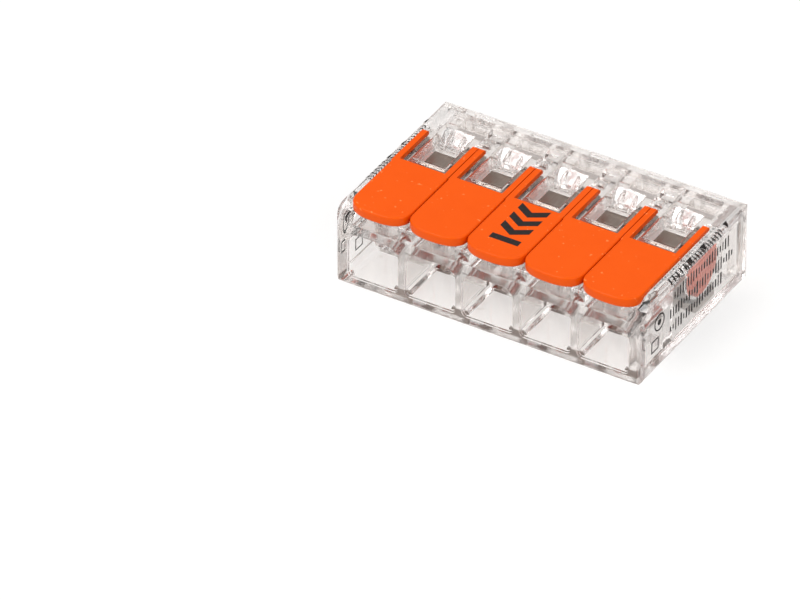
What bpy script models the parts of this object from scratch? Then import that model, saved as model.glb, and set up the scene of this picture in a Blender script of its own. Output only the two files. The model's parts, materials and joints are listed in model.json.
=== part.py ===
"""Five-pole lever wire connector: clear housing, rear cover, busbar, clamp springs and levers.

Frame: X runs along the row of poles, the wire entries face -Y, +Z is up, and the origin is
at the middle of the bottom face. Lengths are in metres.
"""
import math

import bmesh
import bpy
from mathutils import Matrix, Vector

MM = 0.001

# Overall
POLES = 5
PITCH = 5.6 * MM
WIDTH = 29.9 * MM
DEPTH = 18.6 * MM
HEIGHT = 8.3 * MM              # top of the closed levers
WALL_TOP = 8.0 * MM            # top of the end walls and of the rear deck
BEYOND = 0.3 * MM              # how far a cutter runs past the face that it opens
MERGE = 1e-7

# Rounds of the outer shape
FRONT_CORNER = 0.6 * MM
REAR_CORNER = 1.2 * MM
BOTTOM_EDGE = 0.45 * MM
BOTTOM_SIDE_EDGE = 0.9 * MM
TOP_SIDE_EDGE = 0.7 * MM
TOP_REAR_EDGE = 1.25 * MM
FRONT_BROW = 2.5 * MM          # large round where the front face turns into the top
ARC_STEPS = 6

# Wire entries
ENTRY_HALF = 2.4 * MM
ENTRY_FLOOR = 1.05 * MM
ENTRY_ROOF = 5.4 * MM
ENTRY_TOP_RADIUS = 1.0 * MM
ENTRY_BOTTOM_RADIUS = 0.35 * MM
ENTRY_END = -4.9 * MM
THROAT_START = -3.9 * MM
THROAT_SCALE = 0.65            # size of the throat as a share of the entry

# Chambers behind the entries
CHAMBER_HALF = 2.15 * MM
CHAMBER_FLOOR = 1.0 * MM
CHAMBER_ROOF = 6.55 * MM
CHAMBER_START = -3.2 * MM
SPLIT = 7.7 * MM               # rear face of the main housing
COVER_GAP = 0.06 * MM

# Lever
PIVOT_Y = 1.45 * MM
PIVOT_Z = 5.5 * MM
LEVER_HALF = 2.75 * MM
ARM_INNER = 2.22 * MM
ARM_FRONT = -1.05 * MM
ARM_ROOT = -1.7 * MM           # how far the arms reach into the paddle
ARM_UNDERSIDE = 7.5 * MM
TAIL_Y = 3.7 * MM
TAIL_RADIUS = 0.3 * MM
DISC_RADIUS = 2.6 * MM
DISC_STEPS = 22
PADDLE_TIP = -9.2 * MM
PADDLE_UNDERSIDE = 7.35 * MM
PADDLE_EDGE = 0.18 * MM
TIP_DROP = 1.9 * MM            # how far the paddle's corners lie behind its tip
TIP_STEPS = 14
TIP_ROUNDNESS = 2.6            # exponent of the tip's outline; 2 is an ellipse
REAR_SWEEP = 3.58 * MM         # radius that the paddle's rear face keeps from the pivot
NOTCH_APEX = 0.9 * MM          # distance of the cam notch's apex from the pivot
NOTCH_TURN = math.radians(33)  # direction of the notch, from straight down to the front
NOTCH_SPREAD = math.radians(16)

# Slots that the arms of the levers turn in
SLOT_HALF = 0.68 * MM
SLOT_FRONT = -1.15 * MM
SLOT_DISC_RADIUS = 2.7 * MM
SLOT_TAIL_RADIUS = 3.66 * MM
SLOT_DISC_END = math.radians(-56)    # where the seat's round wall ends, from straight back
SLOT_TAIL_START = math.radians(-38)  # where the wider part for the tail begins

# Lever bay, ledges and windows in the top of the housing
BAY_HALF = 14.03 * MM
BAY_FLOOR = 7.25 * MM
DECK_FRONT = -0.95 * MM        # front edge of the window frames
LEDGE_TOP = 6.3 * MM
LEDGE_REAR = -7.4 * MM
LEDGE_HALF = 2.1 * MM
PILLAR_FRONT = -8.75 * MM
WINDOW_HALF = 1.6 * MM
WINDOW_FRONT = -0.2 * MM
WINDOW_REAR = 3.4 * MM

# Rear cover and its latches
LATCH_HALF = 0.55 * MM
LATCH_TIP = 6.25 * MM
LATCH_BOTTOM = 6.45 * MM
LATCH_TOP = 7.0 * MM
BARB_REAR = 6.85 * MM
BARB_TOP = 7.6 * MM
LATCH_PLAY = 0.1 * MM
PLUG_HALF = 1.95 * MM
PLUG_TIP = 6.5 * MM
PLUG_WALL = 0.6 * MM
PLUG_BOTTOM = 1.1 * MM
PLUG_TOP = 6.45 * MM
COVER_WEB = 8.4 * MM           # inner face of the cover's back wall
TEST_SLOT_HALF = 0.8 * MM
TEST_SLOT_BOTTOM = 4.6 * MM
TEST_SLOT_TOP = 5.5 * MM

# Busbar with one contact frame for each pole
BAR_FRONT = 0.9 * MM
BAR_REAR = 4.1 * MM
BAR_BOTTOM = 1.1 * MM
BAR_TOP = 1.95 * MM
BAR_HALF = 13.35 * MM
FRAME_FRONT = 3.7 * MM
FRAME_HALF = 1.85 * MM
FRAME_TOP = 6.4 * MM
FLANGE_FRONT = 1.9 * MM        # front edge of the flange along the top of a frame
FLANGE_BOTTOM = 6.08 * MM
FRAME_WINDOW_HALF = 1.5 * MM
FRAME_WINDOW_TOP = 6.0 * MM
BAR_PLAY = 0.1 * MM

# Clamp spring
STRIP = 0.3 * MM
SPRING_HALF = 1.35 * MM
TAB_HALF = 2.05 * MM
TAB_SIZE = 0.45 * MM
TAB_Y = 0.3 * MM
CONTACT_LEG_Z = 5.72 * MM
BOW_Y = -0.8 * MM
BOW_RADIUS = 0.95 * MM
BOW_STEPS = 10
CLAMP_EDGE = (2.3 * MM, 2.2 * MM)
HOOK_Y = 4.45 * MM
HOOK_TOP = 6.35 * MM

FRONT = -DEPTH / 2
REAR = DEPTH / 2
POLE_X = [PITCH * (pole - (POLES - 1) / 2) for pole in range(POLES)]
GAP_X = [PITCH * (gap + 1 - POLES / 2) for gap in range(POLES - 1)]

# Matrix that lays an outline across the axis along which it is extruded
ACROSS = {
    "X": Matrix(((0, 0, 1), (1, 0, 0), (0, 1, 0))).to_4x4(),
    "Y": Matrix(((1, 0, 0), (0, 0, -1), (0, 1, 0))).to_4x4(),
    "Z": Matrix.Identity(4),
}
ALONG = {"X": Vector((1, 0, 0)), "Y": Vector((0, 1, 0)), "Z": Vector((0, 0, 1))}


def clear_scene():
    for obj in list(bpy.data.objects):
        bpy.data.objects.remove(obj, do_unlink=True)


def make_material(name, color, roughness, metallic=0.0, transmission=0.0):
    material = bpy.data.materials.new(name)
    material.use_nodes = True
    shader = material.node_tree.nodes["Principled BSDF"]
    shader.inputs["Base Color"].default_value = (*color, 1.0)
    shader.inputs["Roughness"].default_value = roughness
    shader.inputs["Metallic"].default_value = metallic
    shader.inputs["Transmission Weight"].default_value = transmission
    return material


def arc(centre, radius, start, end, steps):
    """Points on a circle, from the start angle to the end angle."""
    angles = [start + (end - start) * step / steps for step in range(steps + 1)]
    return [(centre[0] + radius * math.cos(angle), centre[1] + radius * math.sin(angle))
            for angle in angles]


def rounded(corners):
    """Outline through right-angled corners (a, b, radius), counter-clockwise."""
    points = []
    for index, (a, b, radius) in enumerate(corners):
        before = Vector(corners[index - 1][:2]) - Vector((a, b))
        after = Vector(corners[(index + 1) % len(corners)][:2]) - Vector((a, b))
        centre = Vector((a, b)) + (before.normalized() + after.normalized()) * radius
        start = math.atan2(-after.y, -after.x)
        points += arc(centre, radius, start, start + math.pi / 2, ARC_STEPS)
    return points


def mesh_object(name, shape):
    """Object from a bmesh, with its faces turned outwards."""
    bmesh.ops.remove_doubles(shape, verts=shape.verts, dist=MERGE)
    bmesh.ops.recalc_face_normals(shape, faces=shape.faces)
    mesh = bpy.data.meshes.new(name)
    shape.to_mesh(mesh)
    shape.free()
    return bpy.data.objects.new(name, mesh)


def prism(name, outline, axis, low, high):
    """Solid with a flat outline, extruded from low to high along an axis."""
    curve = bpy.data.curves.new(name, "CURVE")
    curve.dimensions = "2D"
    curve.fill_mode = "BOTH"
    curve.extrude = (high - low) / 2
    spline = curve.splines.new("POLY")
    spline.points.add(len(outline) - 1)
    for point, (a, b) in zip(spline.points, outline):
        point.co = (a, b, 0, 1)
    spline.use_cyclic_u = True
    guide = bpy.data.objects.new(name, curve)
    bpy.context.scene.collection.objects.link(guide)
    evaluated = guide.evaluated_get(bpy.context.evaluated_depsgraph_get())
    flat = bpy.data.meshes.new_from_object(evaluated)
    shape = bmesh.new()
    shape.from_mesh(flat)
    bpy.data.objects.remove(guide, do_unlink=True)
    bpy.data.meshes.remove(flat)
    shape.transform(Matrix.Translation(ALONG[axis] * (low + high) / 2) @ ACROSS[axis])
    return mesh_object(name, shape)


def box(name, low, high):
    """Box between two corners."""
    low, high = Vector(low), Vector(high)
    shape = bmesh.new()
    place = Matrix.Translation((low + high) / 2) @ Matrix.Diagonal((*(high - low), 1))
    bmesh.ops.create_cube(shape, size=1, matrix=place)
    return mesh_object(name, shape)


def row(name, original, places):
    """One object with a copy of the original at each place along X."""
    shape = bmesh.new()
    for x in places:
        copy = original.data.copy()
        copy.transform(Matrix.Translation((x, 0, 0)))
        shape.from_mesh(copy)
        bpy.data.meshes.remove(copy)
    bpy.data.objects.remove(original, do_unlink=True)
    return mesh_object(name, shape)


def combine(body, tool, operation):
    """Cut, join or intersect the body with a tool that is left out of the model."""
    cutters.objects.link(tool)
    tool.hide_render = True
    tool.display_type = "WIRE"
    modifier = body.modifiers.new(tool.name, "BOOLEAN")
    modifier.operation = operation
    modifier.object = tool
    modifier.solver = "EXACT"


def finish(body, material):
    """Put a finished sub-part into the model."""
    body.data.materials.append(material)
    parts.objects.link(body)


# Outer shape, shared by the main housing and the rear cover

def side_outline():
    return rounded([
        (FRONT, 0, BOTTOM_EDGE),
        (REAR, 0, BOTTOM_EDGE),
        (REAR, WALL_TOP, TOP_REAR_EDGE),
        (FRONT, WALL_TOP, FRONT_BROW),
    ])


def front_outline():
    half = WIDTH / 2
    return rounded([
        (-half, 0, BOTTOM_SIDE_EDGE),
        (half, 0, BOTTOM_SIDE_EDGE),
        (half, WALL_TOP, TOP_SIDE_EDGE),
        (-half, WALL_TOP, TOP_SIDE_EDGE),
    ])


def plan_outline():
    half = WIDTH / 2
    return rounded([
        (-half, FRONT, FRONT_CORNER),
        (half, FRONT, FRONT_CORNER),
        (half, REAR, REAR_CORNER),
        (-half, REAR, REAR_CORNER),
    ])


def outer_shape(name, front, rear):
    """The part of the outer shape that lies between two planes across Y."""
    reach = WIDTH / 2 + BEYOND
    body = prism(name, side_outline(), "X", -WIDTH / 2, WIDTH / 2)
    plan = prism(name + "_plan", plan_outline(), "Z", -BEYOND, WALL_TOP + BEYOND)
    combine(body, plan, "INTERSECT")
    view = prism(name + "_view", front_outline(), "Y", FRONT - BEYOND, REAR + BEYOND)
    combine(body, view, "INTERSECT")
    keep = box(name + "_keep", (-reach, front, -BEYOND), (reach, rear, WALL_TOP + BEYOND))
    combine(body, keep, "INTERSECT")
    return body


# Main housing

def cut_entries(body):
    outline = rounded([
        (-ENTRY_HALF, ENTRY_FLOOR, ENTRY_BOTTOM_RADIUS),
        (ENTRY_HALF, ENTRY_FLOOR, ENTRY_BOTTOM_RADIUS),
        (ENTRY_HALF, ENTRY_ROOF, ENTRY_TOP_RADIUS),
        (-ENTRY_HALF, ENTRY_ROOF, ENTRY_TOP_RADIUS),
    ])
    mouth = prism("mouth", outline, "Y", FRONT - BEYOND, ENTRY_END)
    combine(body, row("entry_mouths", mouth, POLE_X), "DIFFERENCE")
    combine(body, row("entry_funnels", funnel(), POLE_X), "DIFFERENCE")
    height = (ENTRY_ROOF - ENTRY_FLOOR) / 2
    middle = ENTRY_FLOOR + height
    half, rise = ENTRY_HALF * THROAT_SCALE, height * THROAT_SCALE
    throat = box("throat", (-half, THROAT_START - BEYOND, middle - rise),
                 (half, CHAMBER_START + BEYOND, middle + rise))
    combine(body, row("entry_throats", throat, POLE_X), "DIFFERENCE")


def funnel():
    """Four-sided funnel from the end of an entry to its throat."""
    shape = bmesh.new()
    height = (ENTRY_ROOF - ENTRY_FLOOR) / 2
    length = THROAT_START - ENTRY_END
    inset = ENTRY_TOP_RADIUS * (1 - math.sqrt(0.5))
    bmesh.ops.create_cone(shape, cap_ends=True, segments=4, radius1=math.sqrt(2),
                          radius2=math.sqrt(2) * THROAT_SCALE, depth=1,
                          matrix=Matrix.Rotation(math.pi / 4, 4, "Z"))
    place = (Matrix.Translation((0, ENTRY_END + length / 2, ENTRY_FLOOR + height))
             @ Matrix.Diagonal((ENTRY_HALF - inset, length, height - inset, 1))
             @ Matrix.Rotation(-math.pi / 2, 4, "X"))
    shape.transform(place)
    return mesh_object("funnel", shape)


def slot_outline():
    """Outline, seen along X, of the space that an arm and its tail sweep through."""
    top = WALL_TOP + 2 * BEYOND
    front_turn = math.acos((SLOT_FRONT - PIVOT_Y) / SLOT_DISC_RADIUS)
    disc_turn = 2 * math.pi + SLOT_DISC_END
    top_turn = math.asin((top - PIVOT_Z) / SLOT_TAIL_RADIUS)
    pivot = (PIVOT_Y, PIVOT_Z)
    disc = arc(pivot, SLOT_DISC_RADIUS, front_turn, disc_turn, DISC_STEPS)
    tail = arc(pivot, SLOT_TAIL_RADIUS, SLOT_TAIL_START, top_turn, DISC_STEPS // 2)
    return [(SLOT_FRONT, top)] + disc + tail


def cut_slots(body):
    half = (BAY_HALF - POLE_X[-1] - (PITCH / 2 - SLOT_HALF)) / 2
    inner = prism("arm_slot", slot_outline(), "X", -SLOT_HALF, SLOT_HALF)
    combine(body, row("arm_slots", inner, GAP_X), "DIFFERENCE")
    outer = prism("end_slot", slot_outline(), "X", -half, half)
    places = (-(BAY_HALF - half), BAY_HALF - half)
    combine(body, row("end_slots", outer, places), "DIFFERENCE")


def cut_chambers(body):
    chamber = box("chamber", (-CHAMBER_HALF, CHAMBER_START, CHAMBER_FLOOR),
                  (CHAMBER_HALF, REAR, CHAMBER_ROOF))
    combine(body, row("chambers", chamber, POLE_X), "DIFFERENCE")
    half = BAR_HALF + BAR_PLAY
    channel = box("busbar_channel", (-half, BAR_FRONT - BAR_PLAY, CHAMBER_FLOOR),
                  (half, REAR, BAR_TOP + BAR_PLAY))
    combine(body, channel, "DIFFERENCE")


def cut_top(body):
    top = WALL_TOP + BEYOND
    ahead = FRONT - BEYOND
    bay = box("lever_bay", (-BAY_HALF, ahead, BAY_FLOOR), (BAY_HALF, DECK_FRONT, top))
    combine(body, bay, "DIFFERENCE")
    ledge = box("ledge", (-LEDGE_HALF, ahead, LEDGE_TOP), (LEDGE_HALF, LEDGE_REAR, top))
    combine(body, row("ledges", ledge, POLE_X), "DIFFERENCE")
    half = POLE_X[-1] + LEDGE_HALF
    setback = box("pillar_setback", (-half, ahead, LEDGE_TOP), (half, PILLAR_FRONT, top))
    combine(body, setback, "DIFFERENCE")
    window = box("window", (-WINDOW_HALF, WINDOW_FRONT, CHAMBER_ROOF - BEYOND),
                 (WINDOW_HALF, WINDOW_REAR, top))
    combine(body, row("windows", window, POLE_X), "DIFFERENCE")


def cut_latch_seats(body):
    half = LATCH_HALF + LATCH_PLAY
    channel = box("latch_channel", (-half, LATCH_TIP - LATCH_PLAY, LATCH_BOTTOM - LATCH_PLAY),
                  (half, REAR, LATCH_TOP + LATCH_PLAY))
    combine(body, row("latch_channels", channel, GAP_X), "DIFFERENCE")
    catch = box("catch", (-half, LATCH_TIP - LATCH_PLAY, LATCH_TOP),
                (half, BARB_REAR + LATCH_PLAY, WALL_TOP + BEYOND))
    combine(body, row("latch_catches", catch, GAP_X), "DIFFERENCE")


def make_main_housing():
    body = outer_shape("main_housing", FRONT - BEYOND, SPLIT)
    cut_top(body)
    cut_chambers(body)
    cut_slots(body)
    cut_entries(body)
    cut_latch_seats(body)
    finish(body, clear_plastic)


# Rear cover

def make_rear_cover():
    body = outer_shape("rear_cover", SPLIT + COVER_GAP, REAR + BEYOND)
    plug = box("plug", (-PLUG_HALF, PLUG_TIP, PLUG_BOTTOM), (PLUG_HALF, COVER_WEB, PLUG_TOP))
    combine(body, row("plugs", plug, POLE_X), "UNION")
    inner = PLUG_HALF - PLUG_WALL
    hollow = box("plug_hollow", (-inner, PLUG_TIP - BEYOND, PLUG_BOTTOM + PLUG_WALL),
                 (inner, COVER_WEB, PLUG_TOP - PLUG_WALL))
    combine(body, row("plug_hollows", hollow, POLE_X), "DIFFERENCE")
    slot = box("test_slot", (-TEST_SLOT_HALF, COVER_WEB - BEYOND, TEST_SLOT_BOTTOM),
               (TEST_SLOT_HALF, REAR + BEYOND, TEST_SLOT_TOP))
    combine(body, row("test_slots", slot, POLE_X), "DIFFERENCE")
    outline = [
        (LATCH_TIP, LATCH_BOTTOM),
        (COVER_WEB, LATCH_BOTTOM),
        (COVER_WEB, LATCH_TOP),
        (BARB_REAR, LATCH_TOP),
        (BARB_REAR, BARB_TOP),
        (LATCH_TIP, LATCH_TOP),
    ]
    latch = prism("latch", outline, "X", -LATCH_HALF, LATCH_HALF)
    combine(body, row("latches", latch, GAP_X), "UNION")
    finish(body, clear_plastic)


# Busbar

def make_busbar():
    body = box("busbar", (-BAR_HALF, BAR_FRONT, BAR_BOTTOM), (BAR_HALF, BAR_REAR, BAR_TOP))
    foot = (BAR_TOP + BAR_BOTTOM) / 2
    outline = [(FRAME_FRONT, foot), (BAR_REAR, foot), (BAR_REAR, FRAME_TOP),
               (FLANGE_FRONT, FRAME_TOP), (FLANGE_FRONT, FLANGE_BOTTOM),
               (FRAME_FRONT, FLANGE_BOTTOM)]
    plate = prism("contact_frame", outline, "X", -FRAME_HALF, FRAME_HALF)
    combine(body, row("contact_frames", plate, POLE_X), "UNION")
    opening = box("frame_window", (-FRAME_WINDOW_HALF, FRAME_FRONT - BEYOND, BAR_TOP),
                  (FRAME_WINDOW_HALF, BAR_REAR + BEYOND, FRAME_WINDOW_TOP))
    combine(body, row("frame_windows", opening, POLE_X), "DIFFERENCE")
    finish(body, tinned_copper)


# Clamp springs

def spring_path():
    """Middle line of the strip, from the hook round the bow to the clamping edge."""
    centre = Vector((BOW_Y, CONTACT_LEG_Z - BOW_RADIUS))
    to_edge = Vector(CLAMP_EDGE) - centre
    leave = math.atan2(to_edge.y, to_edge.x) - math.acos(BOW_RADIUS / to_edge.length)
    bow = arc(centre, BOW_RADIUS, math.pi / 2, 2 * math.pi + leave, BOW_STEPS)
    return [(HOOK_Y, HOOK_TOP), (HOOK_Y, CONTACT_LEG_Z)] + bow + [CLAMP_EDGE]


def strip_outline(path, thickness):
    """Closed outline of a strip that follows a path, with mitred bends."""
    points = [Vector(point) for point in path]
    steps = [(end - start).normalized() for start, end in zip(points, points[1:])]
    left, right = [], []
    for index, point in enumerate(points):
        before = steps[max(index - 1, 0)]
        after = steps[min(index, len(steps) - 1)]
        normal = (before + after).normalized().orthogonal()
        offset = normal * (thickness / 2) / abs(normal.dot(after.orthogonal()))
        left.append(tuple(point + offset))
        right.append(tuple(point - offset))
    return left + right[::-1]


def make_spring(number, x):
    name = f"clamp_spring_{number}"
    body = prism(name, strip_outline(spring_path(), STRIP), "X", x - SPRING_HALF, x + SPRING_HALF)
    tangent, edge = Vector(spring_path()[-2]), Vector(CLAMP_EDGE)
    tab_z = tangent.y + (edge.y - tangent.y) * (TAB_Y - tangent.x) / (edge.x - tangent.x)
    half = TAB_SIZE / 2
    tab = box(f"spring_tabs_{number}", (x - TAB_HALF, TAB_Y - half, tab_z - half),
              (x + TAB_HALF, TAB_Y + half, tab_z + half))
    combine(body, tab, "UNION")
    finish(body, spring_steel)


# Levers

def tip_outline():
    """Outline of the paddle, seen from above, with a rounded tip at the front."""
    power = 2 / TIP_ROUNDNESS
    points = [(LEVER_HALF, ARM_FRONT), (-LEVER_HALF, ARM_FRONT)]
    for step in range(TIP_STEPS + 1):
        angle = math.pi * (step / TIP_STEPS - 0.5)
        x = math.copysign(abs(math.sin(angle)) ** power, angle) * LEVER_HALF
        y = PADDLE_TIP + TIP_DROP * (1 - max(math.cos(angle), 0) ** power)
        points.append((x, y))
    return points


def on_disc(turn, radius):
    """Point at a distance from the pivot; the turn runs from straight down to the front."""
    return (PIVOT_Y - radius * math.sin(turn), PIVOT_Z - radius * math.cos(turn))


def arm_outline():
    """Outline of an arm, seen along X, with its pivot disc and the cam notch."""
    pivot = (PIVOT_Y, PIVOT_Z)
    down = -math.pi / 2
    front_turn = math.acos((ARM_FRONT - PIVOT_Y) / DISC_RADIUS)
    notch_start = 2 * math.pi + down - NOTCH_TURN - NOTCH_SPREAD
    notch_end = down - NOTCH_TURN + NOTCH_SPREAD
    rear_turn = math.acos((TAIL_Y - PIVOT_Y) / DISC_RADIUS)
    front = arc(pivot, DISC_RADIUS, front_turn, notch_start, DISC_STEPS // 4)
    rear = arc(pivot, DISC_RADIUS, notch_end, rear_turn, DISC_STEPS)
    tail_centre = (TAIL_Y - TAIL_RADIUS, HEIGHT - TAIL_RADIUS)
    tail = arc(tail_centre, TAIL_RADIUS, 0, math.pi / 2, ARC_STEPS // 2)
    root = [(ARM_ROOT, HEIGHT), (ARM_ROOT, ARM_UNDERSIDE), (ARM_FRONT, ARM_UNDERSIDE)]
    return root + front + [on_disc(NOTCH_TURN, NOTCH_APEX)] + rear + tail


def make_lever(number, x):
    name = f"lever_{number}"
    pivot = Vector((x, PIVOT_Y, PIVOT_Z))
    body = prism(name, tip_outline(), "Z", PADDLE_UNDERSIDE, HEIGHT)
    body.data.transform(Matrix.Translation((0, -PIVOT_Y, -PIVOT_Z)))
    body.location = pivot
    bevel = body.modifiers.new("soft_edges", "BEVEL")
    bevel.width = PADDLE_EDGE
    bevel.segments = 2
    bevel.limit_method = "ANGLE"
    bevel.angle_limit = math.radians(40)
    arm = prism(f"arm_{number}", arm_outline(), "X", ARM_INNER, LEVER_HALF)
    mirror = arm.modifiers.new("other_arm", "MIRROR")
    mirror.merge_threshold = MERGE
    arm.location = (x, 0, 0)
    combine(body, arm, "UNION")
    shape = bmesh.new()
    bmesh.ops.create_cone(shape, cap_ends=True, segments=4 * DISC_STEPS, radius1=REAR_SWEEP,
                          radius2=REAR_SWEEP, depth=2 * ARM_INNER,
                          matrix=Matrix.Translation(pivot) @ Matrix.Rotation(math.pi / 2, 4, "Y"))
    combine(body, mesh_object(f"rear_sweep_{number}", shape), "DIFFERENCE")
    finish(body, lever_plastic)


clear_scene()
parts = bpy.data.collections.new("lever_wire_connector")
cutters = bpy.data.collections.new("cutters")
clear_plastic = make_material("clear_polycarbonate", (0.93, 0.92, 0.91), 0.08, transmission=0.9)
lever_plastic = make_material("orange_lever_plastic", (0.95, 0.13, 0.013), 0.38)
tinned_copper = make_material("tinned_copper", (0.62, 0.58, 0.53), 0.35, metallic=1.0)
spring_steel = make_material("spring_steel", (0.50, 0.48, 0.46), 0.30, metallic=1.0)

make_main_housing()
make_rear_cover()
make_busbar()
for pole, pole_x in enumerate(POLE_X, start=1):
    make_spring(pole, pole_x)
    make_lever(pole, pole_x)
for collection in (parts, cutters):
    bpy.context.scene.collection.children.link(collection)
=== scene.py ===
"""Lever wire connector: clear five-pole housing, orange levers, spring clamps. Metres, +Z up."""
import json
import math

import bmesh
import bpy
from mathutils import Matrix, Vector


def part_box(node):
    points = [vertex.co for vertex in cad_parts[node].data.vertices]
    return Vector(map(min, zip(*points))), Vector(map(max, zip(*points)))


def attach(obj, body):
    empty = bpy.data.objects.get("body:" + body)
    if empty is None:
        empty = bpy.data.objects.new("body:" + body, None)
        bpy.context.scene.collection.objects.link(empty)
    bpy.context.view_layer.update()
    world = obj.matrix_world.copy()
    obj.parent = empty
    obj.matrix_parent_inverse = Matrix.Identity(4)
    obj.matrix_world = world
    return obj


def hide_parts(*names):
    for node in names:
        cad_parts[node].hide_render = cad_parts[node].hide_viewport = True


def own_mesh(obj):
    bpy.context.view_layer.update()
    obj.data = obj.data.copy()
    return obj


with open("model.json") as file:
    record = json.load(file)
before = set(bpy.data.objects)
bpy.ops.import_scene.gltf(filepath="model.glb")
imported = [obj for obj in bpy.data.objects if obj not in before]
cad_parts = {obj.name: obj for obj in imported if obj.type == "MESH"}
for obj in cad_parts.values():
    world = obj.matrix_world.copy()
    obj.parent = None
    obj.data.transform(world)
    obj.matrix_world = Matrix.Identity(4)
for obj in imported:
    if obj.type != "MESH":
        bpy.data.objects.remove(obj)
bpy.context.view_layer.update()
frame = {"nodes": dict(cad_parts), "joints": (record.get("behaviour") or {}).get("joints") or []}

MM = 0.001
MERGE = 1e-7                        # distance at which two corners are one
BEYOND = 0.3 * MM                   # how far a cut reaches past the surface
SAME_PLANE = math.radians(0.5)      # faces closer than this in angle become one
SHARP_EDGE = math.radians(24)       # edges steeper than this stay sharp in shading
SQUARE_ON = 0.99995                 # least part of a normal along an axis for a square face

# Camera
AIM = Vector((0, 0, 4 * MM))
AZIMUTH = math.radians(30.94)
ELEVATION = math.radians(36.0)
DISTANCE = 0.8364
AIM_RIGHT = -12.09 * MM
AIM_UP = -5.06 * MM
FOCAL_LENGTH = 446.0
SENSOR = 36.0

# Sizes that come from the solids
POLES = 5
POLE_X = [sum(corner.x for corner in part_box(f"lever_{pole}")) / 2 for pole in range(1, POLES + 1)]
PITCH = (POLE_X[-1] - POLE_X[0]) / (POLES - 1)
HOUSING_LOW, HOUSING_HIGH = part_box("main_housing")
END_WALL = HOUSING_HIGH.x
DECK_TOP = HOUSING_HIGH.z
LEVER_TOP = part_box("lever_1")[1].z
LEVER_HALF = (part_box("lever_1")[1].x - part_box("lever_1")[0].x) / 2
LEVER_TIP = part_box("lever_1")[0].y
PIVOT = Vector(frame["joints"][0]["pos_m"]).yz

# Housing details
LINING_FRONT = -0.32 * MM           # front end of a window's lining
PANEL_DEPTH = 0.13 * MM             # depth of the inset panels in the end walls
HOUSING_ROUND = 0.07 * MM           # radius of the edges of the housing and its cover

# Levers
TAIL_END = PIVOT[0] + 2.25 * MM
DISC_RADIUS = 2.6 * MM
ARM_INNER = 2.22 * MM
ARM_FRONT = -1.05 * MM
PADDLE_UNDERSIDE = 7.35 * MM
TIP_DROP = 1.9 * MM                 # length of the rounded tip
TIP_ROUNDNESS = 2.6
REAR_SWEEP = 3.58 * MM              # radius of the cut behind the paddle

# Printed marks
INK = 0.012 * MM
EDGE_ROUND = 0.7 * MM               # radius of the top edges of the end walls
STROKE_STEP = 0.45 * MM
STROKE_WIDTH = 0.22 * MM
STROKE_HEIGHT = 1.25 * MM
STROKE_LEAST = (1.0, 0.6, 0.35)     # smallest stroke, as parts of the full size

ACROSS = {
    "X": Matrix(((0, 0, 1), (1, 0, 0), (0, 1, 0))).to_4x4(),
    "Y": Matrix(((1, 0, 0), (0, 0, -1), (0, 1, 0))).to_4x4(),
    "Z": Matrix.Identity(4),
}


# ---- Solids ----

def add_object(name, mesh):
    obj = bpy.data.objects.new(name, mesh)
    bpy.context.scene.collection.objects.link(obj)
    return obj


def from_shape(name, shape):
    bmesh.ops.remove_doubles(shape, verts=shape.verts, dist=MERGE)
    bmesh.ops.recalc_face_normals(shape, faces=shape.faces)
    mesh = bpy.data.meshes.new(name)
    shape.to_mesh(mesh)
    shape.free()
    return add_object(name, mesh)


def slab(name, outline, axis, low, high):
    """Solid with a flat outline, extruded along an axis from low to high."""
    shape = bmesh.new()
    sign = -1 if axis == "Y" else 1
    ring = [shape.verts.new((a, b, sign * low)) for a, b in outline]
    face = shape.faces.new(ring)
    grown = bmesh.ops.extrude_face_region(shape, geom=[face])["geom"]
    tops = [item for item in grown if isinstance(item, bmesh.types.BMVert)]
    bmesh.ops.translate(shape, verts=tops, vec=(0, 0, sign * (high - low)))
    shape.transform(ACROSS[axis])
    return from_shape(name, shape)


def block(name, low, high):
    low, high = Vector(low), Vector(high)
    shape = bmesh.new()
    place = Matrix.Translation((low + high) / 2) @ Matrix.Diagonal((*(high - low), 1))
    bmesh.ops.create_cube(shape, size=1, matrix=place)
    return from_shape(name, shape)


def drum(name, centre, radius, depth, axis="Z", steps=32):
    shape = bmesh.new()
    turn = Matrix.Rotation(math.pi / 2, 4, "Y") if axis == "X" else Matrix.Identity(4)
    bmesh.ops.create_cone(shape, cap_ends=True, segments=steps, radius1=radius, radius2=radius,
                          depth=depth, matrix=Matrix.Translation(centre) @ turn)
    return from_shape(name, shape)


def arc(centre, radius, start, end, steps):
    angles = [start + (end - start) * step / steps for step in range(steps + 1)]
    return [(centre[0] + radius * math.cos(angle), centre[1] + radius * math.sin(angle))
            for angle in angles]


def rounded(corners, steps=6):
    """Outline through right-angled corners (a, b, radius), counter-clockwise."""
    points = []
    for index, (a, b, radius) in enumerate(corners):
        before = Vector(corners[index - 1][:2]) - Vector((a, b))
        after = Vector(corners[(index + 1) % len(corners)][:2]) - Vector((a, b))
        centre = Vector((a, b)) + (before.normalized() + after.normalized()) * radius
        start = math.atan2(-after.y, -after.x)
        points += arc(centre, radius, start, start + math.pi / 2, steps)
    return points


def rounded_rectangle(half, low, high, radius):
    """Outline of a rectangle from -half to half and from low to high."""
    return rounded([(-half, low, radius), (half, low, radius), (half, high, radius),
                    (-half, high, radius)], 3)


def mirrored(outline):
    return [(-a, b) for a, b in outline][::-1]


def joined(name, solids):
    """One mesh of several solids, which are used up."""
    shape = bmesh.new()
    for solid in solids:
        shape.from_mesh(solid.data)
        drop(solid)
    mesh = bpy.data.meshes.new(name)
    shape.to_mesh(mesh)
    shape.free()
    return add_object(name, mesh)


def drop(obj):
    mesh = obj.data
    bpy.data.objects.remove(obj, do_unlink=True)
    if mesh.users == 0:
        bpy.data.meshes.remove(mesh)


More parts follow.
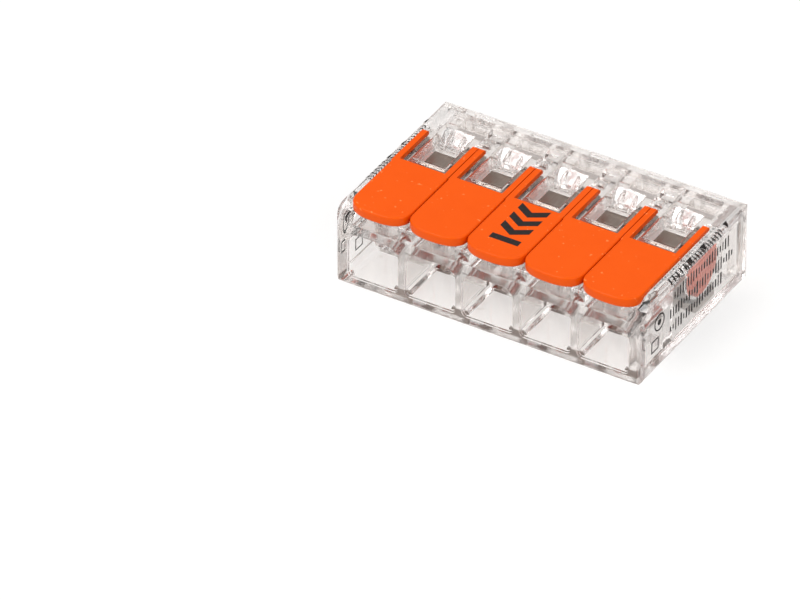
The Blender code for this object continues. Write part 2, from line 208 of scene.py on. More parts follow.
def settle(obj):
    """Replace the object's mesh with the result of its modifiers."""
    evaluated = obj.evaluated_get(bpy.context.evaluated_depsgraph_get())
    mesh = bpy.data.meshes.new_from_object(evaluated)
    old = obj.data
    obj.modifiers.clear()
    obj.data = mesh
    mesh.name = obj.name
    if old.users == 0:
        bpy.data.meshes.remove(old)
    return obj


def combine(body, tool, operation):
    """Cut or join the body with the tool, which is used up."""
    modifier = body.modifiers.new(tool.name, "BOOLEAN")
    modifier.operation = operation
    modifier.solver = "EXACT"
    modifier.object = tool
    settle(body)
    drop(tool)


def moulded_copy(name, node):
    """Copy of a solid as a clean mesh: merged, with its flat faces in one piece each."""
    shape = bmesh.new()
    shape.from_mesh(frame["nodes"][node].data)
    bmesh.ops.remove_doubles(shape, verts=shape.verts, dist=MERGE)
    bmesh.ops.dissolve_limit(shape, angle_limit=SAME_PLANE, verts=shape.verts,
                             edges=shape.edges)
    mesh = bpy.data.meshes.new(name)
    shape.to_mesh(mesh)
    shape.free()
    return add_object(name, mesh)


def close_up(body, reach):
    """Merge slivers that cuts leave, and join faces that lie in one plane."""
    shape = bmesh.new()
    shape.from_mesh(body.data)
    bmesh.ops.remove_doubles(shape, verts=shape.verts, dist=reach)
    bmesh.ops.dissolve_limit(shape, angle_limit=SAME_PLANE, verts=shape.verts,
                             edges=shape.edges)
    shape.to_mesh(body.data)
    shape.free()


def split_faces(body):
    """Cut many-sided faces into triangles, so that rounding can't cover a hole in one."""
    shape = bmesh.new()
    shape.from_mesh(body.data)
    bmesh.ops.triangulate(shape, faces=[face for face in shape.faces if len(face.verts) > 4])
    shape.to_mesh(body.data)
    shape.free()


def soften(body, width, segments=2, angle=35):
    """Round the edges of a piece and shade it smoothly across them."""
    split_faces(body)
    bevel = body.modifiers.new("soft_edges", "BEVEL")
    bevel.width = width
    bevel.segments = segments
    bevel.limit_method = "ANGLE"
    bevel.angle_limit = math.radians(angle)
    bevel.miter_outer = "MITER_ARC"
    settle(body)
    return shade(body)


def shade(body):
    """Smooth shading that leaves large flat faces flat."""
    body.data.shade_smooth()
    body.data.set_sharp_from_angle(angle=SHARP_EDGE)
    weights = body.modifiers.new("flat_faces", "WEIGHTED_NORMAL")
    weights.weight = 100
    weights.keep_sharp = True
    settle(body)
    mesh = body.data
    normals = [corner.vector.copy() for corner in mesh.corner_normals]
    for face in mesh.polygons:
        if max(abs(part) for part in face.normal) > SQUARE_ON:
            for corner in face.loop_indices:
                normals[corner] = face.normal.copy()
    mesh.normals_split_custom_set(normals)
    return body


def paint(body, material):
    body.data.materials.clear()
    body.data.materials.append(material)


# ---- Rows of equal features ----

def new_tree(name, inputs):
    """Empty geometry tree with named inputs, and its input and output nodes."""
    tree = bpy.data.node_groups.new(name, "GeometryNodeTree")
    for label, kind in inputs:
        tree.interface.new_socket(label, in_out="INPUT", socket_type="NodeSocket" + kind)
    tree.interface.new_socket("Geometry", in_out="OUTPUT", socket_type="NodeSocketGeometry")
    return tree, tree.nodes.new("NodeGroupInput"), tree.nodes.new("NodeGroupOutput")


def add_line(tree, given):
    """Points at equal steps, from the inputs Count, First and Step."""
    line = tree.nodes.new("GeometryNodeMeshLine")
    tree.links.new(given.outputs["Count"], line.inputs["Count"])
    tree.links.new(given.outputs["First"], line.inputs["Start Location"])
    tree.links.new(given.outputs["Step"], line.inputs["Offset"])
    return line


def finish_tree(tree, given, place, result):
    """Make the copies real and give them the material."""
    real = tree.nodes.new("GeometryNodeRealizeInstances")
    coat = tree.nodes.new("GeometryNodeSetMaterial")
    tree.links.new(place.outputs["Instances"], real.inputs["Geometry"])
    tree.links.new(real.outputs["Geometry"], coat.inputs["Geometry"])
    tree.links.new(given.outputs["Material"], coat.inputs["Material"])
    tree.links.new(coat.outputs["Geometry"], result.inputs["Geometry"])


def build_row_tree():
    """Geometry nodes: copies of a unit at equal steps from a first place."""
    tree, given, result = new_tree("equal_row", (
        ("Geometry", "Geometry"), ("Unit", "Object"), ("Count", "Int"), ("Step", "Vector"),
        ("First", "Vector"), ("Material", "Material")))
    unit = tree.nodes.new("GeometryNodeObjectInfo")
    place = tree.nodes.new("GeometryNodeInstanceOnPoints")
    line = add_line(tree, given)
    tree.links.new(given.outputs["Unit"], unit.inputs["Object"])
    tree.links.new(line.outputs["Mesh"], place.inputs["Points"])
    tree.links.new(unit.outputs["Geometry"], place.inputs["Instance"])
    finish_tree(tree, given, place, result)
    return tree


def build_stroke_tree():
    """Geometry nodes: a line of upright strokes with random widths and heights."""
    tree, given, result = new_tree("stroke_line", (
        ("Geometry", "Geometry"), ("Count", "Int"), ("First", "Vector"), ("Step", "Vector"),
        ("Size", "Vector"), ("Least", "Vector"), ("Seed", "Int"), ("Material", "Material")))
    stroke = tree.nodes.new("GeometryNodeMeshCube")
    chance = tree.nodes.new("FunctionNodeRandomValue")
    chance.data_type = "FLOAT_VECTOR"
    place = tree.nodes.new("GeometryNodeInstanceOnPoints")
    line = add_line(tree, given)
    least, most = [socket for socket in chance.inputs if socket.type == "VECTOR"]
    most.default_value = (1, 1, 1)
    tree.links.new(given.outputs["Size"], stroke.inputs["Size"])
    tree.links.new(given.outputs["Least"], least)
    tree.links.new(given.outputs["Seed"], chance.inputs["Seed"])
    tree.links.new(line.outputs["Mesh"], place.inputs["Points"])
    tree.links.new(stroke.outputs["Mesh"], place.inputs["Instance"])
    tree.links.new(chance.outputs["Value"], place.inputs["Scale"])
    finish_tree(tree, given, place, result)
    return tree


def set_input(modifier, name, value):
    for item in modifier.node_group.interface.items_tree:
        if item.item_type == "SOCKET" and item.in_out == "INPUT" and item.name == name:
            modifier[item.identifier] = value


def in_row(name, unit, count, step, first, material=None):
    """Plain mesh of a row of copies of the unit, which is used up."""
    row = add_object(name, bpy.data.meshes.new(name))
    modifier = row.modifiers.new("row", "NODES")
    modifier.node_group = row_tree
    set_input(modifier, "Unit", unit)
    set_input(modifier, "Count", count)
    set_input(modifier, "Step", step)
    set_input(modifier, "First", first)
    set_input(modifier, "Material", material)
    settle(row)
    drop(unit)
    return row


def at_poles(name, unit):
    """Copies of a unit, drawn around X = 0, one at every pole."""
    return in_row(name, unit, POLES, (PITCH, 0, 0), (POLE_X[0], 0, 0))


def at_gaps(name, unit):
    """Copies of a unit, drawn around X = 0, one between every two poles."""
    return in_row(name, unit, POLES - 1, (PITCH, 0, 0), (POLE_X[0] + PITCH / 2, 0, 0))


# ---- Clear housing ----

def window_lining():
    """Tapered walls at the sides and the front of an inspection window."""
    deep, high, rear = 6.62 * MM, 7.86 * MM, 3.5 * MM
    side = [(-1.72 * MM, high), (-1.72 * MM, deep), (-1.4 * MM, deep), (-1.6 * MM, high)]
    left = slab("left", side, "Y", LINING_FRONT, rear)
    right = slab("right", mirrored(side), "Y", LINING_FRONT, rear)
    front = slab("front", [(LINING_FRONT, high), (LINING_FRONT, deep), (0.05 * MM, deep),
                           (-0.2 * MM, high)], "X", -1.66 * MM, 1.66 * MM)
    combine(left, right, "UNION")
    combine(left, front, "UNION")
    return left


def window_slope():
    """Space cut out behind a window, where the deck slopes down to it."""
    outline = [(3.25 * MM, 6.85 * MM), (3.6 * MM, 6.9 * MM), (4.3 * MM, 7.25 * MM),
               (5.2 * MM, DECK_TOP - 0.05 * MM), (5.45 * MM, DECK_TOP + BEYOND),
               (3.25 * MM, DECK_TOP + BEYOND)]
    return slab("slope", outline, "X", -1.42 * MM, 1.42 * MM)


def slope_ribs():
    """Two thin ribs that stand on the slope behind a window."""
    half = 0.1
    outline = [(3.42 * MM, 6.75 * MM), (5.3 * MM, 6.75 * MM), (5.3 * MM, 7.9 * MM),
               (4.5 * MM, 7.82 * MM), (3.6 * MM, 7.3 * MM)]
    ribs = [slab("rib", outline, "X", (place - half) * MM, (place + half) * MM)
            for place in (-0.62, 0.58)]
    return joined("ribs", ribs)


def end_panels():
    """Shallow inset panels in the two end walls."""
    outline = rounded([(-8.5 * MM, 1.55 * MM, 0.3 * MM), (7.3 * MM, 1.55 * MM, 0.3 * MM),
                       (7.3 * MM, 7.05 * MM, 0.3 * MM), (-8.5 * MM, 7.05 * MM, 2.3 * MM)])
    right = slab("right_panel", outline, "X", END_WALL - PANEL_DEPTH, END_WALL + BEYOND)
    left = slab("left_panel", outline, "X", -END_WALL - BEYOND, -END_WALL + PANEL_DEPTH)
    return joined("end_panels", [right, left])


def guide_rails():
    """Low rails along both lower corners of an entry."""
    outline = [(-2.5, 0.95), (-1.95, 0.95), (-1.95, 1.22), (-2.12, 1.5), (-2.5, 1.5)]
    outline = [(a * MM, b * MM) for a, b in outline]
    front, rear = -9.0 * MM, -4.95 * MM
    left = slab("left_rail", outline, "Y", front, rear)
    right = slab("right_rail", mirrored(outline), "Y", front, rear)
    return joined("rails", [left, right])


def mouth_step():
    """Shallow step all round the mouth of an entry."""
    front = HOUSING_LOW.y
    outline = rounded([(-2.53 * MM, 0.92 * MM, 0.5 * MM), (2.53 * MM, 0.92 * MM, 0.5 * MM),
                       (2.53 * MM, 5.47 * MM, 1.1 * MM), (-2.53 * MM, 5.47 * MM, 1.1 * MM)], 5)
    return slab("mouth_step", outline, "Y", front - BEYOND, front + 0.14 * MM)


def deck_pocket():
    """Shallow pocket in the deck behind a window."""
    outline = rounded_rectangle(1.75 * MM, 5.85 * MM, 7.15 * MM, 0.2 * MM)
    return slab("pocket", outline, "Z", DECK_TOP - 0.14 * MM, DECK_TOP + BEYOND)


def snap_recess():
    """Recess around a snap button."""
    outline = rounded_rectangle(0.62 * MM, 4.42 * MM, 5.5 * MM, 0.15 * MM)
    return slab("recess", outline, "Z", DECK_TOP - 0.35 * MM, DECK_TOP + BEYOND)


def snap_button():
    return drum("button", (0, 4.96 * MM, DECK_TOP - 0.25 * MM), 0.3 * MM, 0.4 * MM, steps=20)


def bar_mark():
    """Small moulded line across the front bar of a window."""
    return block("line", (-0.045 * MM, -1.1 * MM, DECK_TOP - 0.09 * MM),
                 (0.045 * MM, -0.45 * MM, DECK_TOP + BEYOND))


def deck_fill():
    """Level underside of the deck behind the second window, where the solid has a dip."""
    half, underside, top = 2.145 * MM, 6.55 * MM, 7.1 * MM
    return block("deck_fill", (POLE_X[1] - half, 6.1 * MM, underside),
                 (POLE_X[1] + half, 7.698 * MM, top))


def make_housing():
    body = moulded_copy("clear_housing", "main_housing")
    combine(body, deck_fill(), "UNION")
    combine(body, at_poles("window_linings", window_lining()), "UNION")
    combine(body, at_poles("window_slopes", window_slope()), "DIFFERENCE")
    combine(body, at_poles("slope_ribs", slope_ribs()), "UNION")
    combine(body, at_poles("guide_rails", guide_rails()), "UNION")
    combine(body, at_poles("mouth_steps", mouth_step()), "DIFFERENCE")
    combine(body, end_panels(), "DIFFERENCE")
    combine(body, at_poles("deck_pockets", deck_pocket()), "DIFFERENCE")
    combine(body, at_gaps("snap_recesses", snap_recess()), "DIFFERENCE")
    combine(body, at_gaps("snap_buttons", snap_button()), "UNION")
    combine(body, at_poles("bar_marks", bar_mark()), "DIFFERENCE")
    soften(body, HOUSING_ROUND)
    paint(body, clear_plastic)
    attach(body, "root")
    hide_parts("main_housing")


def make_cover():
    body = moulded_copy("clear_rear_cover", "rear_cover")
    reach, half, bottom = END_WALL - 1.0 * MM, 0.05, DECK_TOP - 0.08 * MM
    grooves = [block("groove", (-reach, (y - half) * MM, bottom),
                     (reach, (y + half) * MM, DECK_TOP + BEYOND))
               for y in (8.12, 8.5)]
    combine(body, joined("seam_grooves", grooves), "DIFFERENCE")
    soften(body, HOUSING_ROUND)
    paint(body, clear_plastic)
    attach(body, "root")
    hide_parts("rear_cover")


# ---- Levers ----

def tip_outline():
    """Paddle seen from above: square at the back, rounded at the tip."""
    power, steps = 2 / TIP_ROUNDNESS, 44
    points = [(LEVER_HALF, ARM_FRONT), (-LEVER_HALF, ARM_FRONT)]
    for step in range(steps + 1):
        angle = math.pi * (step / steps - 0.5)
        x = math.copysign(abs(math.sin(angle)) ** power, angle) * LEVER_HALF
        y = LEVER_TIP + TIP_DROP * (1 - max(math.cos(angle), 0) ** power)
        points.append((x, y))
    return points


def arm_outline():
    """Arm and pivot disc seen from the side, with the cam notch in the disc."""
    down, notch, spread = -math.pi / 2, math.radians(33), math.radians(16)
    apex = 0.9 * MM
    front_turn = math.acos((ARM_FRONT - PIVOT[0]) / DISC_RADIUS)
    rear_turn = math.acos((TAIL_END - PIVOT[0]) / DISC_RADIUS)
    front = arc(PIVOT, DISC_RADIUS, front_turn, 2 * math.pi + down - notch - spread, 16)
    rear = arc(PIVOT, DISC_RADIUS, down - notch + spread, rear_turn, 56)
    radius, arm_low = 0.3 * MM, 7.5 * MM
    tail = arc((TAIL_END - radius, LEVER_TOP - radius), radius, 0, math.pi / 2, 8)
    root = [(-1.7 * MM, LEVER_TOP), (-1.7 * MM, arm_low), (ARM_FRONT - 0.12 * MM, arm_low)]
    inner = (PIVOT[0] - apex * math.sin(notch), PIVOT[1] - apex * math.cos(notch))
    return root + front + [inner] + rear + tail


def make_lever_shape():
    """One lever around X = 0, in its closed place."""
    body = slab("lever", tip_outline(), "Z", PADDLE_UNDERSIDE, LEVER_TOP)
    bevel = body.modifiers.new("soft_rim", "BEVEL")
    bevel.width = 0.17 * MM
    bevel.segments = 4
    bevel.limit_method = "ANGLE"
    bevel.angle_limit = math.radians(40)
    settle(body)
    for side in (-1, 1):
        low, high = sorted((side * ARM_INNER, side * LEVER_HALF))
        combine(body, slab("arm", arm_outline(), "X", low, high), "UNION")
    sweep = drum("rear_sweep", (0, *PIVOT), REAR_SWEEP, 2 * ARM_INNER, "X", 96)
    combine(body, sweep, "DIFFERENCE")
    grip = [slab("grip", rounded_rectangle(1.9 * MM, y * MM, (y + 0.3) * MM, 0.1 * MM),
                 "Z", PADDLE_UNDERSIDE - BEYOND, PADDLE_UNDERSIDE + 0.15 * MM)
            for y in (-8.0, -7.3, -6.6)]
    combine(body, joined("grip_grooves", grip), "DIFFERENCE")
    close_up(body, 0.004 * MM)
    return soften(body, 0.05 * MM, angle=50)


def make_levers():
    master = make_lever_shape()
    for pole, x in enumerate(POLE_X, start=1):
        mesh = master.data.copy()
        mesh.transform(Matrix.Translation((x, 0, 0)))
        lever = add_object(f"orange_lever_{pole}", mesh)
        paint(lever, lever_plastic)
        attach(lever, f"lever_body_{pole}")
        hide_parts(f"lever_{pole}")
    drop(master)


# ---- Metal ----

def make_metal():
    bar = soften(moulded_copy("tinned_busbar", "busbar"), 0.06 * MM)
    paint(bar, tinned_copper)
    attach(bar, "root")
    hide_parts("busbar")
    for pole in range(1, POLES + 1):
        spring = moulded_copy(f"steel_clamp_spring_{pole}", f"clamp_spring_{pole}")
        soften(spring, 0.04 * MM)
        paint(spring, spring_steel)
        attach(spring, "root")
        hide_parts(f"clamp_spring_{pole}")
        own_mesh(spring)


# ---- Printed marks: plain strokes, bars and arrows ----

def make_lever_mark():
    """Chevrons and a bar, printed on the middle lever to show which end lifts."""
    low, high = LEVER_TOP - INK, LEVER_TOP + INK
    marks = []
    left, middle, right = -1.2, 0.2, 1.6
    for peak in (-6.0, -4.55, -3.1):
        outline = [(left, peak + 0.85), (middle, peak), (right, peak + 0.85),
                   (right, peak + 1.65), (middle, peak + 0.8), (left, peak + 1.65)]
        marks.append(slab("chevron", [(a * MM, b * MM) for a, b in outline], "Z", low, high))
    marks.append(block("bar", (left * MM, -7.1 * MM, low), (right * MM, -6.4 * MM, high)))
    finish_print(joined("middle_lever_mark", marks), f"lever_body_{(POLES + 1) // 2}")


def finish_print(mark, body):
    paint(mark, ink)
    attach(mark, body)


def stroke_line(name, seed, first, count, side):
    """Line of strokes along Y on the inset panel of an end wall."""
    row = add_object(name, bpy.data.meshes.new(name))
    modifier = row.modifiers.new("strokes", "NODES")
    modifier.node_group = stroke_tree
    surface = side * (END_WALL - PANEL_DEPTH)
    set_input(modifier, "Count", count)
    set_input(modifier, "First", (surface, first[0] * MM, first[1] * MM))
    set_input(modifier, "Step", (0, STROKE_STEP, 0))
    set_input(modifier, "Size", (2 * INK, STROKE_WIDTH, STROKE_HEIGHT))
    set_input(modifier, "Least", STROKE_LEAST)
    set_input(modifier, "Seed", seed)
    set_input(modifier, "Material", ink)
    return settle(row)


def ring_mark(side):
    """Ring with a dot in it, on the inset panel."""
    surface = side * (END_WALL - PANEL_DEPTH)
    centre = (surface, -6.2 * MM, 4.9 * MM)
    ring = drum("ring", centre, 0.85 * MM, 2 * INK, "X", 40)
    combine(ring, drum("hole", centre, 0.7 * MM, 4 * INK, "X", 40), "DIFFERENCE")
    return [ring, drum("dot", centre, 0.3 * MM, 2 * INK, "X", 24)]


def box_mark(side, y, z):
    """Small outlined box on the inset panel."""
    surface, half, line = side * (END_WALL - PANEL_DEPTH), 0.6 * MM, 0.13 * MM
    centre = Vector((surface, y * MM, z * MM))
    mark = block("box_mark", centre - Vector((INK, half, half)),
                 centre + Vector((INK, half, half)))
    inside = half - line
    hole = block("hole", centre - Vector((2 * INK, inside, inside)),
                 centre + Vector((2 * INK, inside, inside)))
    combine(mark, hole, "DIFFERENCE")
    return mark


def wrap_over_edge(body):
    """Bend flat marks, drawn around X = 0, over the round top edge of the right end wall."""
    centre_x, centre_z = END_WALL - EDGE_ROUND, DECK_TOP - EDGE_ROUND
    shape = bmesh.new()
    shape.from_mesh(body.data)
    for place in range(-3, 4):
        bmesh.ops.bisect_plane(shape, geom=shape.verts[:] + shape.edges[:] + shape.faces[:],
                               plane_co=(place * 0.08 * MM, 0, 0), plane_no=(1, 0, 0))
    for vertex in shape.verts:
        turn = math.radians(45) + vertex.co.x / EDGE_ROUND
        distance = EDGE_ROUND + vertex.co.z
        vertex.co.x = centre_x + distance * math.sin(turn)
        vertex.co.z = centre_z + distance * math.cos(turn)
    shape.to_mesh(body.data)
    shape.free()
    return body


def edge_scale(side):
    """Tick scale and three pointers on the round top edge of an end wall."""
    half = 0.3 * MM
    tick = block("tick", (-half, -0.09 * MM, -INK), (half, 0.09 * MM, INK))
    marks = [in_row("ticks", tick, 5, (0, 0.62 * MM, 0), (0, -4.3 * MM, 0), ink)]
    for y, size in ((-0.9, 0.36), (1.4, 0.36), (5.2, 0.3)):
        marks.append(slab("pointer", [(-half, (y - size) * MM), (half, y * MM),
                                      (-half, (y + size) * MM)], "Z", -INK, INK))
    scale = wrap_over_edge(joined("edge_scale", marks))
    if side < 0:
        scale.data.transform(Matrix.Scale(-1, 4, (1, 0, 0)))
        scale.data.flip_normals()
    return scale


def make_end_prints():
    """Three lines of strokes, a ring, a box and a scale on each end wall."""
    for side, label in ((1, "right"), (-1, "left")):
        lines = [stroke_line("line", 3, (-3.6, 6.05), 21, side),
                 stroke_line("line", 8, (-4.3, 4.5), 24, side),
                 stroke_line("line", 5, (-4.3, 2.95), 20, side),
                 box_mark(side, -6.9, 2.9), edge_scale(side)]
        finish_print(joined(f"{label}_end_print", lines + ring_mark(side)), "root")


# ---- Materials ----

def new_group(name, inputs, outputs):
    """Empty shader group with named sockets, and its input and output nodes."""
    group = bpy.data.node_groups.new(name, "ShaderNodeTree")
    for label, kind, value in inputs:
        group.interface.new_socket(label, in_out="INPUT", socket_type=kind).default_value = value
    for label, kind in outputs:
        group.interface.new_socket(label, in_out="OUTPUT", socket_type=kind)
    return group, group.nodes.new("NodeGroupInput"), group.nodes.new("NodeGroupOutput")


def build_moulded_skin():
    """Cloudy colour, uneven polish and fine texture of a moulded surface."""
    group, given, result = new_group(
        "moulded_skin",
        [("Colour", "NodeSocketColor", (0.8, 0.8, 0.8, 1)),
         ("Cloud colour", "NodeSocketColor", (0.7, 0.7, 0.7, 1)),
         ("Cloud scale", "NodeSocketFloat", 250.0),
         ("Grain scale", "NodeSocketFloat", 4000.0),
         ("Speck colour", "NodeSocketColor", (1, 1, 1, 1)),
         ("Speck scale", "NodeSocketFloat", 1500.0),
         ("Polished", "NodeSocketFloat", 0.3),
         ("Dull", "NodeSocketFloat", 0.45)],
        [("Colour", "NodeSocketColor"), ("Roughness", "NodeSocketFloat"),
         ("Height", "NodeSocketFloat")])
    node, link = group.nodes.new, group.links.new
    place = node("ShaderNodeTexCoord")
    cloud = node("ShaderNodeTexNoise")
    cloud.inputs["Detail"].default_value = 4.0
    grain = node("ShaderNodeTexNoise")
    grain.inputs["Detail"].default_value = 3.0
    tint = node("ShaderNodeMix")
    tint.data_type = "RGBA"
    speck = node("ShaderNodeTexNoise")
    speck.inputs["Detail"].default_value = 1.0
    speck_mask = node("ShaderNodeMapRange")
    speck_mask.inputs["From Min"].default_value = 0.735
    speck_mask.inputs["From Max"].default_value = 0.76
    dotted = node("ShaderNodeMix")
    dotted.data_type = "RGBA"
    polish = node("ShaderNodeMapRange")
    link(place.outputs["Object"], speck.inputs["Vector"])
    link(given.outputs["Speck scale"], speck.inputs["Scale"])
    link(speck.outputs["Fac"], speck_mask.inputs["Value"])
    link(speck_mask.outputs["Result"], dotted.inputs["Factor"])
    link(tint.outputs["Result"], dotted.inputs["A"])
    link(given.outputs["Speck colour"], dotted.inputs["B"])
    link(place.outputs["Object"], cloud.inputs["Vector"])
    link(place.outputs["Object"], grain.inputs["Vector"])
    link(given.outputs["Cloud scale"], cloud.inputs["Scale"])
    link(given.outputs["Grain scale"], grain.inputs["Scale"])
    link(cloud.outputs["Fac"], tint.inputs["Factor"])
    link(given.outputs["Colour"], tint.inputs["A"])
    link(given.outputs["Cloud colour"], tint.inputs["B"])
    link(cloud.outputs["Fac"], polish.inputs["Value"])
    polish.inputs["From Min"].default_value = 0.3
    polish.inputs["From Max"].default_value = 0.7
    link(given.outputs["Polished"], polish.inputs["To Min"])
    link(given.outputs["Dull"], polish.inputs["To Max"])
    link(dotted.outputs["Result"], result.inputs["Colour"])
    link(polish.outputs["Result"], result.inputs["Roughness"])
    link(grain.outputs["Fac"], result.inputs["Height"])
    return group


def build_rolled_grain():
    """Long fine lines that rolling leaves on sheet metal, along Y."""
    group, given, result = new_group(
        "rolled_grain",
        [("Colour", "NodeSocketColor", (0.6, 0.6, 0.6, 1)),
         ("Line colour", "NodeSocketColor", (0.4, 0.4, 0.4, 1)),
         ("Line scale", "NodeSocketFloat", 9000.0),
         ("Smooth", "NodeSocketFloat", 0.25), ("Rough", "NodeSocketFloat", 0.45)],
        [("Colour", "NodeSocketColor"), ("Roughness", "NodeSocketFloat"),
         ("Height", "NodeSocketFloat")])
    node, link = group.nodes.new, group.links.new
    place = node("ShaderNodeTexCoord")
    stretch = node("ShaderNodeMapping")
    stretch.inputs["Scale"].default_value = (1.0, 0.06, 1.0)
    lines = node("ShaderNodeTexNoise")
    lines.inputs["Detail"].default_value = 4.0
    tint = node("ShaderNodeMix")
    tint.data_type = "RGBA"
    polish = node("ShaderNodeMapRange")
    link(place.outputs["Object"], stretch.inputs["Vector"])
    link(stretch.outputs["Vector"], lines.inputs["Vector"])
    link(given.outputs["Line scale"], lines.inputs["Scale"])
    link(lines.outputs["Fac"], tint.inputs["Factor"])
    link(given.outputs["Colour"], tint.inputs["A"])
    link(given.outputs["Line colour"], tint.inputs["B"])
    link(lines.outputs["Fac"], polish.inputs["Value"])
    link(given.outputs["Smooth"], polish.inputs["To Min"])
    link(given.outputs["Rough"], polish.inputs["To Max"])
    link(tint.outputs["Result"], result.inputs["Colour"])
    link(polish.outputs["Result"], result.inputs["Roughness"])
    link(lines.outputs["Fac"], result.inputs["Height"])
    return group


def new_material(name):
    material = bpy.data.materials.new(name)
    material.use_nodes = True
    return material, material.node_tree, material.node_tree.nodes["Principled BSDF"]


def place_group(tree, group, values):
    node = tree.nodes.new("ShaderNodeGroup")
    node.node_tree = group
    for name, value in values.items():
        node.inputs[name].default_value = value
    return node


def add_bump(tree, shader, height, depth):
    bump = tree.nodes.new("ShaderNodeBump")
    bump.inputs["Distance"].default_value = depth
    bump.inputs["Strength"].default_value = 1.0
    tree.links.new(height, bump.inputs["Height"])
    tree.links.new(bump.outputs["Normal"], shader.inputs["Normal"])


def clear_material():
    material, tree, shader = new_material("clear_polycarbonate")
    skin = place_group(tree, moulded_skin, {
        "Colour": (0.93, 0.913, 0.901, 1), "Cloud colour": (0.89, 0.864, 0.847, 1),
        "Speck colour": (0.80, 0.76, 0.73, 1), "Speck scale": 1100.0,
        "Cloud scale": 160.0, "Grain scale": 500.0, "Polished": 0.05, "Dull": 0.13})
    tree.links.new(skin.outputs["Colour"], shader.inputs["Base Color"])
    tree.links.new(skin.outputs["Roughness"], shader.inputs["Roughness"])
    add_bump(tree, shader, skin.outputs["Height"], 0.004 * MM)
    shader.inputs["IOR"].default_value = 1.58
    shader.inputs["Transmission Weight"].default_value = 1.0
    lamp_light = tree.nodes.new("ShaderNodeBsdfTransparent")
    lamp_light.inputs["Color"].default_value = (0.95, 0.94, 0.93, 1)
    path = tree.nodes.new("ShaderNodeLightPath")
    mix = tree.nodes.new("ShaderNodeMixShader")
    output = tree.nodes["Material Output"]
    tree.links.new(path.outputs["Is Shadow Ray"], mix.inputs[0])
    tree.links.new(shader.outputs[0], mix.inputs[1])
    tree.links.new(lamp_light.outputs[0], mix.inputs[2])
    tree.links.new(mix.outputs[0], output.inputs["Surface"])
    return material


def lever_material():
    material, tree, shader = new_material("orange_moulding")
    skin = place_group(tree, moulded_skin, {
        "Colour": (0.78, 0.092, 0.0008, 1), "Cloud colour": (0.73, 0.08, 0.0006, 1),
        "Speck colour": (0.9, 0.2, 0.05, 1), "Speck scale": 2600.0,
        "Cloud scale": 420.0, "Grain scale": 9000.0, "Polished": 0.3, "Dull": 0.42})
    tree.links.new(skin.outputs["Colour"], shader.inputs["Base Color"])
    tree.links.new(skin.outputs["Roughness"], shader.inputs["Roughness"])
    add_bump(tree, shader, skin.outputs["Height"], 0.004 * MM)
    shader.inputs["Specular IOR Level"].default_value = 0.12
    return material


def metal_material(name, colour, line_colour, smooth, rough):
    material, tree, shader = new_material(name)
    grain = place_group(tree, rolled_grain, {
        "Colour": (*colour, 1), "Line colour": (*line_colour, 1), "Smooth": smooth,
        "Rough": rough})
    tree.links.new(grain.outputs["Colour"], shader.inputs["Base Color"])
    tree.links.new(grain.outputs["Roughness"], shader.inputs["Roughness"])
    add_bump(tree, shader, grain.outputs["Height"], 0.006 * MM)
    shader.inputs["Metallic"].default_value = 1.0
    return material


def ink_material():
    material, tree, shader = new_material("printing_ink")
    skin = place_group(tree, moulded_skin, {
        "Colour": (0.010, 0.009, 0.009, 1), "Cloud colour": (0.035, 0.03, 0.028, 1),
        "Speck colour": (0.12, 0.08, 0.06, 1), "Speck scale": 5000.0,
        "Cloud scale": 3000.0, "Grain scale": 12000.0, "Polished": 0.45, "Dull": 0.65})
    tree.links.new(skin.outputs["Colour"], shader.inputs["Base Color"])
    tree.links.new(skin.outputs["Roughness"], shader.inputs["Roughness"])
    shader.inputs["Specular IOR Level"].default_value = 0.12
    add_bump(tree, shader, skin.outputs["Height"], 0.002 * MM)
    return material


# ---- Studio ----

def make_camera():
    back = Vector((math.sin(AZIMUTH) * math.cos(ELEVATION),
                   -math.cos(AZIMUTH) * math.cos(ELEVATION), math.sin(ELEVATION)))
    right = Vector((math.cos(AZIMUTH), math.sin(AZIMUTH), 0))
    up = back.cross(right)
    data = bpy.data.cameras.new("camera")
    data.lens = FOCAL_LENGTH
    data.sensor_width = SENSOR
    data.clip_start = 0.01
    data.clip_end = 20.0
    camera = bpy.data.objects.new("camera", data)
    spot = AIM + DISTANCE * back + AIM_RIGHT * right + AIM_UP * up
    camera.matrix_world = (Matrix.Translation(spot)
                           @ Matrix((right, up, back)).transposed().to_4x4())
    bpy.context.scene.collection.objects.link(camera)
    bpy.context.scene.camera = camera


def make_softbox(name, size, power, place):
    data = bpy.data.lights.new(name, "AREA")
    data.shape = "RECTANGLE"
    data.size, data.size_y = size
    data.energy = power
    light = bpy.data.objects.new(name, data)
    light.location = place
    light.rotation_euler = (AIM - Vector(place)).to_track_quat("-Z", "Y").to_euler()
    bpy.context.scene.collection.objects.link(light)


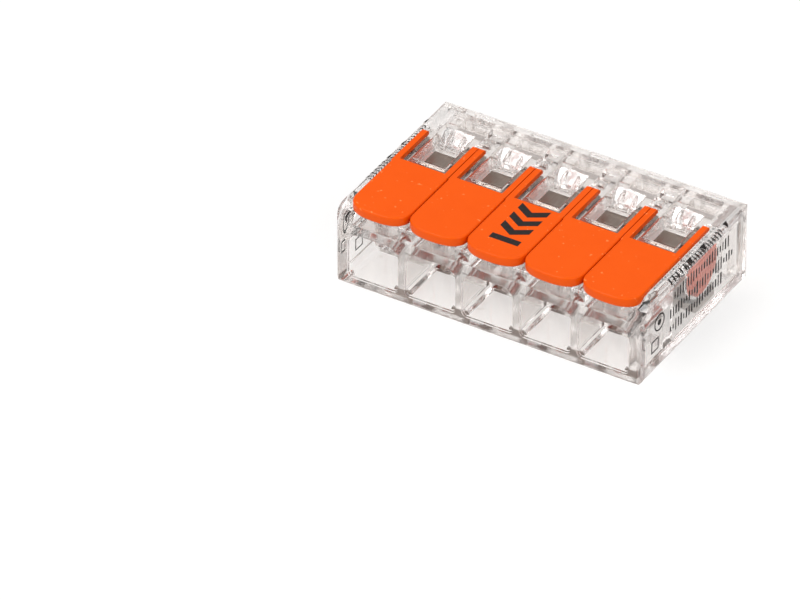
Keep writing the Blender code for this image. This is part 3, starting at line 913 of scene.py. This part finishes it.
def make_floor():
    half = 1.5
    floor = block("floor", (-half, -half, -1 * MM), (half, half, -0.05 * MM))
    material, _, shader = new_material("pale_floor")
    shader.inputs["Base Color"].default_value = (0.26, 0.26, 0.259, 1)
    shader.inputs["Roughness"].default_value = 0.9
    shader.inputs["Specular IOR Level"].default_value = 0.0
    shader.inputs["Emission Color"].default_value = (1, 0.997, 0.993, 1)
    shader.inputs["Emission Strength"].default_value = 0.71
    floor.data.materials.append(material)


def make_room():
    world = bpy.data.worlds.new("soft_room")
    world.use_nodes = True
    tree = world.node_tree
    background = tree.nodes["Background"]
    background.inputs["Strength"].default_value = 0.8
    place = tree.nodes.new("ShaderNodeTexCoord")
    split = tree.nodes.new("ShaderNodeSeparateXYZ")
    ramp = tree.nodes.new("ShaderNodeValToRGB")
    ramp.color_ramp.elements[0].position = 0.0
    ramp.color_ramp.elements[0].color = (0.36, 0.275, 0.245, 1)
    ramp.color_ramp.elements[1].position = 0.8
    ramp.color_ramp.elements[1].color = (0.95, 0.95, 0.95, 1)
    middle = ramp.color_ramp.elements.new(0.35)
    middle.color = (0.55, 0.485, 0.455, 1)
    tree.links.new(place.outputs["Generated"], split.inputs[0])
    tree.links.new(split.outputs["Z"], ramp.inputs[0])
    tree.links.new(ramp.outputs[0], background.inputs["Color"])
    scene = bpy.context.scene
    scene.world = world
    scene.view_settings.view_transform = "Standard"
    scene.cycles.max_bounces = 64
    scene.cycles.transmission_bounces = 64
    scene.cycles.glossy_bounces = 48
    scene.cycles.transparent_max_bounces = 32


make_camera()
make_floor()
make_room()
make_softbox("key_softbox", (0.5, 0.5), 5.0, (-0.3, -0.4, 0.7))
make_softbox("fill_softbox", (0.4, 0.4), 2.0, (0.6, -0.2, 0.5))

moulded_skin = build_moulded_skin()
rolled_grain = build_rolled_grain()
clear_plastic = clear_material()
lever_plastic = lever_material()
tinned_copper = metal_material("tinned_copper", (0.40, 0.345, 0.305), (0.27, 0.215, 0.185),
                               0.3, 0.5)
spring_steel = metal_material("spring_steel", (0.40, 0.33, 0.29), (0.26, 0.2, 0.17),
                              0.22, 0.4)
ink = ink_material()
stroke_tree = build_stroke_tree()
row_tree = build_row_tree()

make_housing()
make_cover()
make_levers()
make_metal()
make_lever_mark()
make_end_prints()
